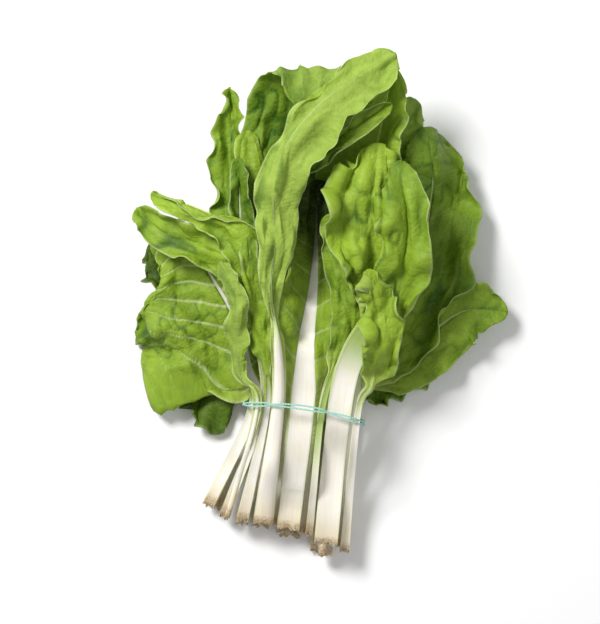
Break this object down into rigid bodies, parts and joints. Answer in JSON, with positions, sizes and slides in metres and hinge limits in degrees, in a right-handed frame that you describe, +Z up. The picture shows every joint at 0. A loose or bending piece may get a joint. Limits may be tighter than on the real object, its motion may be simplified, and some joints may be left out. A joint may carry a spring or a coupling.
{
  "type": "chard bunch",
  "caption": "Bunch of white-stemmed chard lying on its back: ruffled green leaves on broad pale stalks, tied with a thin turquoise loop.",
  "frame": {"origin": "on the surface that the bunch lies on, under the middle of its bounding box", "axes": "+Y from the cut stem ends towards the leaf tips, the longest extent; +Z up from the surface, the shortest extent; +X to the right seen from above with the tips away"},
  "size_m": [0.3062, 0.4084, 0.1092],
  "materials": {
    "stalk": "satin, moist white petiole and midrib with a green edge",
    "blade": "semi-gloss fresh green leaf, paler behind",
    "tie": "matte turquoise elastic"
  },
  "bodies": {
    "root": {"under_left_stalk": "stalk", "under_left_blade": "blade", "under_centre_stalk": "stalk", "under_centre_blade": "blade", "under_right_stalk": "stalk", "under_right_blade": "blade", "left_back_stalk": "stalk", "left_back_blade": "blade", "right_back_stalk": "stalk", "right_back_blade": "blade", "right_flap_stalk": "stalk", "right_flap_blade": "blade", "top_left_small_stalk": "stalk", "top_left_small_blade": "blade", "top_left_tall_stalk": "stalk", "top_left_tall_blade": "blade", "right_wide_stalk": "stalk", "right_wide_blade": "blade", "bright_top_stalk": "stalk", "bright_top_blade": "blade", "left_wide_stalk": "stalk", "left_wide_blade": "blade", "left_round_stalk": "stalk", "left_round_blade": "blade", "left_small_stalk": "stalk", "left_small_blade": "blade", "left_tip_stalk": "stalk", "left_tip_blade": "blade", "left_horizontal_stalk": "stalk", "left_horizontal_blade": "blade", "roll_stalk": "stalk", "roll_blade": "blade", "centre_stalk": "stalk", "centre_blade": "blade", "right_inner_stalk": "stalk", "right_inner_blade": "blade", "right_bright_stalk": "stalk", "right_bright_blade": "blade", "right_mid_stalk": "stalk", "right_mid_blade": "blade", "right_low_stalk": "stalk", "right_low_blade": "blade", "left_slip_stalk": "stalk", "left_slip_blade": "blade", "left_strip_stalk": "stalk", "left_strip_blade": "blade", "arch_stalk": "stalk", "arch_blade": "blade", "tie": "tie"}
  },
  "joints": []
}
